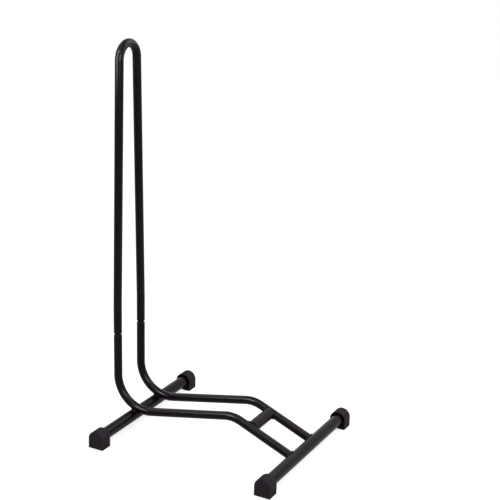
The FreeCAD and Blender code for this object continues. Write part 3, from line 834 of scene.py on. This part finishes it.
skin = add_node(weld_bead, "GeometryNodeInputNormal").outputs[0]
place = add_node(weld_bead, "GeometryNodeInputPosition").outputs[0]
crown = add_node(weld_bead, "ShaderNodeVectorMath", {0: skin, 1: stored(weld_bead, "outward")},
                 operation="DOT_PRODUCT").outputs["Value"]
unsteady = noise(weld_bead, place, WAVERS_PER_METRE, wants["Seed"], detail=2.0)
beat = math_node(weld_bead, "MULTIPLY", stored(weld_bead, "along"), wants["Ripples per Metre"])
beat = added_up(weld_bead, beat, (crown, wants["Bow"]), (unsteady, WAVER))
wave = math_node(weld_bead, "SINE", math_node(weld_bead, "MULTIPLY", beat, math.pi))
wave = math_node(weld_bead, "SUBTRACT", math_node(weld_bead, "ABSOLUTE", wave), RIPPLE_LEVEL)
swell = math_node(weld_bead, "MULTIPLY", wave, wants["Ripple Height"])
swell = math_node(weld_bead, "MULTIPLY", swell, math_node(weld_bead, "ADD", unsteady, LEAST_RIPPLE))
push = add_node(weld_bead, "ShaderNodeVectorMath", {0: skin, "Scale": swell}, operation="SCALE")
rippled = add_node(weld_bead, "GeometryNodeSetPosition",
                   {"Geometry": swept.outputs[0], "Offset": push.outputs["Vector"]})
close_tree(weld_bead, rippled.outputs[0], wants["Finish"], gives)
print("tree:", weld_bead.name, len(weld_bead.nodes), "nodes")

# %% The line of a front bead
BEAD_LIFT = 0.85 * MM   # how much both tubes are grown to find the line
up_the_fall = -down_the_fall
square_to_fall = Vector((math.sin(slope), 0, math.cos(slope)))


def front_bead_line(y, steps=120):
    """Round the end of a rail, where it meets the front foot."""
    rail, foot = tube_radius + BEAD_LIFT, foot_radius + BEAD_LIFT
    start = Vector((front_x, y, rail_end_z))
    foot_axis = Vector((front_x, 0, foot_z))
    points = []
    for step in range(steps):
        angle = 2 * math.pi * step / steps
        offset = start + rail * (math.cos(angle) * ACROSS + math.sin(angle) * square_to_fall) - foot_axis
        flat = Vector((offset.x, 0, offset.z))
        half = flat.dot(up_the_fall)
        reach = -half + math.sqrt(half * half - flat.length_squared + foot * foot)
        points.append(foot_axis + offset + up_the_fall * reach)
    return points


print("front bead:", len(front_bead_line(rail_y)), "points")


# %% The line of a rear bead
def rear_bead_line(y, steps=96):
    """Round the saddle of a rear bend, where it sits on the rear foot."""
    tube, foot = tube_radius + BEAD_LIFT, foot_radius + BEAD_LIFT
    bend_axis = Vector((bend_x, 0, bend_z))
    to_foot = Vector((rear_x, 0, foot_z)) - bend_axis
    gap, toward = to_foot.length, to_foot.normalized()
    sideways = Vector((-toward.z, 0, toward.x))
    half_width = math.sqrt(tube ** 2 - (gap - foot - REAR_BEND) ** 2)
    points = []
    for step in range(steps):
        angle = 2 * math.pi * step / steps
        across = half_width * math.cos(angle)
        reach = REAR_BEND + math.sqrt(tube ** 2 - across ** 2)
        along = (gap ** 2 + reach ** 2 - foot ** 2) / (2 * gap)
        aside = math.sqrt(max(reach ** 2 - along ** 2, 0.0)) * (1 if math.sin(angle) >= 0 else -1)
        points.append(bend_axis + toward * along + sideways * aside + ACROSS * (y + across))
    return points


print("rear bead:", len(rear_bead_line(rail_y)), "points")

# %% The line of a bead on the cross tube
RAIL_COVER = 0.3 * MM   # how far above and below the rail the line passes
CORNER_EASE = 5         # points on each side that round off a corner of the line


def cross_bead_line(y, steps=160):
    """Round one end of the cross tube: up its front and rear flanks, and over the rail above and below."""
    rail, tube = tube_radius + BEAD_LIFT, cross_radius + BEAD_LIFT
    most = tube_radius + RAIL_COVER
    inward = -1 if y > 0 else 1
    points = []
    for step in range(steps):
        angle = 2 * math.pi * step / steps
        up = max(-most, min(most, tube * math.sin(angle)))
        across = y + inward * math.sqrt(rail ** 2 - up ** 2)
        flank = down_the_fall * (tube * math.cos(angle))
        points.append(Vector((cross_middle.x, across, cross_middle.z)) + flank + square_to_fall * up)
    # The torch takes the four corners of this loop in a curve.
    near = range(-CORNER_EASE, CORNER_EASE + 1)
    return [sum((points[(i + k) % steps] for k in near), Vector()) / len(near) for i in range(steps)]


print("cross tube's bead:", len(cross_bead_line(rail_y)), "points")

# %% Lay the beads
BEAD_RADIUS = 1.30 * MM
BEAD_SKIN = {"Ring Spacing": 0.28 * MM, "Sides": 20, "Ripples per Metre": 620.0,
             "Ripple Height": 0.42 * MM, "Bow": 0.8, "Finish": weld_paint}


def lay_bead(name, points, centre, seed):
    """A closed bead along a loop of points. Its crown looks away from the centre."""
    outward = [tuple((point - centre).normalized()) for point in points]
    piece = lay_line(name, points, closed=True, girth=[BEAD_RADIUS] * len(points), outward=outward)
    grow(piece, weld_bead, {**BEAD_SKIN, "Seed": seed})
    clean(piece, face_outwards=True)
    return piece


beads = {}
for hand, y, seed in (("left", rail_y, 5.0), ("right", -rail_y, 9.0)):
    beads[f"rear_{hand}"] = lay_bead(f"rear_{hand}_bead", rear_bead_line(y),
                                     Vector((rear_x, y, foot_z + foot_radius)), seed)
    beads[f"front_{hand}"] = lay_bead(f"front_{hand}_bead", front_bead_line(y),
                                      Vector((front_x, y, rail_end_z)), seed + 1)
    beads[f"cross_{hand}"] = lay_bead(f"cross_{hand}_bead", cross_bead_line(y),
                                      Vector((cross_middle.x, y, cross_middle.z)), seed + 2)
for bead in beads.values():
    report(bead)

# %% [markdown]
# ## The end caps
#
# Four moulded caps close the foot tubes and stand on the floor: an arched top round the tube, straight
# sides, a flat sole, one closed end and a mouth that is wider than the tube. A cap could be cut out of
# a block, but all of its outlines can be reached from the tube's axis, so each is one ring of points,
# and the cap is bands between rings. A Bevel then rounds the edges by their weight, so each edge has
# its own softness.

# %% Directions and reach for a cap
CAP_END = 4.0 * MM         # thickness of the closed end
CAP_SHELL = 1.4 * MM       # wall round the mouth
CAP_RECESS = 9.0 * MM      # depth of the mouth
CAP_FIT = 0.05 * MM        # room round the foot tube
OVER_STEPS, SIDE_STEPS, SOLE_STEPS = 32, 6, 12
TINY = 1e-9                # guards a division by zero

cap_low, cap_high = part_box("front_left_foot_cap")
cap_half = (cap_high.x - cap_low.x) / 2
cap_depth = cap_high.y - cap_low.y
sole_corner = math.atan2(foot_z, cap_half)


def cap_directions():
    """Angles round the tube's axis, with the two corners of the sole among them."""
    under = math.pi - 2 * sole_corner
    over = [math.pi * step / OVER_STEPS for step in range(OVER_STEPS)]
    side = [math.pi + sole_corner * step / SIDE_STEPS for step in range(SIDE_STEPS)]
    sole = [math.pi + sole_corner + under * step / SOLE_STEPS for step in range(SOLE_STEPS)]
    back = [2 * math.pi - sole_corner * (1 - step / SIDE_STEPS) for step in range(SIDE_STEPS)]
    return over + side + sole + back


def arch_reach(angle, half):
    """How far the arched outline is from the axis in one direction. The sole keeps its proportion."""
    if math.sin(angle) >= -TINY:
        return half
    level = half / max(abs(math.cos(angle)), TINY)
    down = half * math.tan(sole_corner) / abs(math.sin(angle))
    return min(level, down)


cap_angles = cap_directions()
cap_size = [round(v / MM, 1) for v in (2 * cap_half, cap_depth, cap_high.z)]
print("cap", cap_size, "mm,", len(cap_angles), "directions")


# %% Rings of a cap
def cap_rings(shape, x, hand):
    """Rings of points from the closed end to the mouth, and back inside to the end of the bore."""
    closed, mouth = hand * cap_high.y, hand * cap_low.y
    recess, bore_end = mouth + hand * CAP_RECESS, closed - hand * CAP_END
    outside = [arch_reach(angle, cap_half) for angle in cap_angles]
    inside = [arch_reach(angle, cap_half - CAP_SHELL) for angle in cap_angles]
    bore = [foot_radius + CAP_FIT] * len(cap_angles)
    rings = []
    for y, reaches in ((closed, outside), (mouth, outside), (mouth, inside),
                       (recess, inside), (recess, bore), (bore_end, bore)):
        rings.append([shape.verts.new((x + reach * math.cos(angle), y, foot_z + reach * math.sin(angle)))
                      for angle, reach in zip(cap_angles, reaches)])
    return rings


# %% Mould the caps
CAP_ROUND = 1.5 * MM       # rounding of the closed end and of the sole's long edges
CAP_LIP_ROUND = 0.6 * MM   # rounding of the mouth's outer edge
INNER_LIP = 0.27           # rounding of the mouth's inner edge, as a share of CAP_ROUND
CAP_ROUND_STEPS = 5
CAP_SHARP_EDGE = math.radians(40)
SOLE_CORNERS = (OVER_STEPS + SIDE_STEPS, OVER_STEPS + SIDE_STEPS + SOLE_STEPS)


def mould_cap(name, x, hand):
    shape = bmesh.new()
    softness = shape.edges.layers.float.new("bevel_weight_edge")
    rings = cap_rings(shape, x, hand)
    count = len(cap_angles)
    for here, there in zip(rings, rings[1:]):
        for i in range(count):
            after = (i + 1) % count
            shape.faces.new((here[i], here[after], there[after], there[i]))
    shape.faces.new(rings[0])
    shape.faces.new(rings[-1])
    bmesh.ops.recalc_face_normals(shape, faces=shape.faces)
    for ring, weight in zip(rings, (1.0, CAP_LIP_ROUND / CAP_ROUND, INNER_LIP)):
        for i in range(count):
            shape.edges.get((ring[i], ring[(i + 1) % count]))[softness] = weight
    for i in SOLE_CORNERS:
        shape.edges.get((rings[0][i], rings[1][i]))[softness] = 1.0
    mesh = bpy.data.meshes.new(name)
    shape.to_mesh(mesh)
    shape.free()
    mesh.materials.append(cap_rubber)
    mesh.shade_smooth()
    piece = add_object(name, mesh)
    rounding = piece.modifiers.new("rounding", "BEVEL")
    rounding.width = CAP_ROUND
    rounding.segments = CAP_ROUND_STEPS
    rounding.limit_method = "WEIGHT"
    rounding.harden_normals = True
    settle(piece)
    piece.data.set_sharp_from_angle(angle=CAP_SHARP_EDGE)
    return piece


caps = {}
for end, x in (("rear", rear_x), ("front", front_x)):
    for hand, sign in (("left", 1), ("right", -1)):
        caps[f"{end}_{hand}"] = mould_cap(f"{end}_{hand}_cap", x, sign)
        report(caps[f"{end}_{hand}"])

# %% [markdown]
# ## Put the pieces on the frame
#
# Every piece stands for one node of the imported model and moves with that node's body. Only the hoop
# is on a body of its own: it lifts off. The rest is welded or pressed together.

# %% Fit the pieces
def fit(piece, node, body):
    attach(piece, body)
    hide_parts(node)
    print(piece.name, "stands for", node, "on", body)


fit(hoop, "upper_hoop", "hoop")
fit(rear_foot, "rear_foot_tube", "base_frame")
fit(front_foot, "front_foot_tube", "base_frame")
fit(cross, "cross_tube", "base_frame")
for hand, rail in rails.items():
    fit(rail, f"{hand}_side_rail", "base_frame")
for joint, bead in beads.items():
    fit(bead, f"{joint}_weld", "base_frame")
for corner, cap in caps.items():
    fit(cap, f"{corner}_foot_cap", "base_frame")
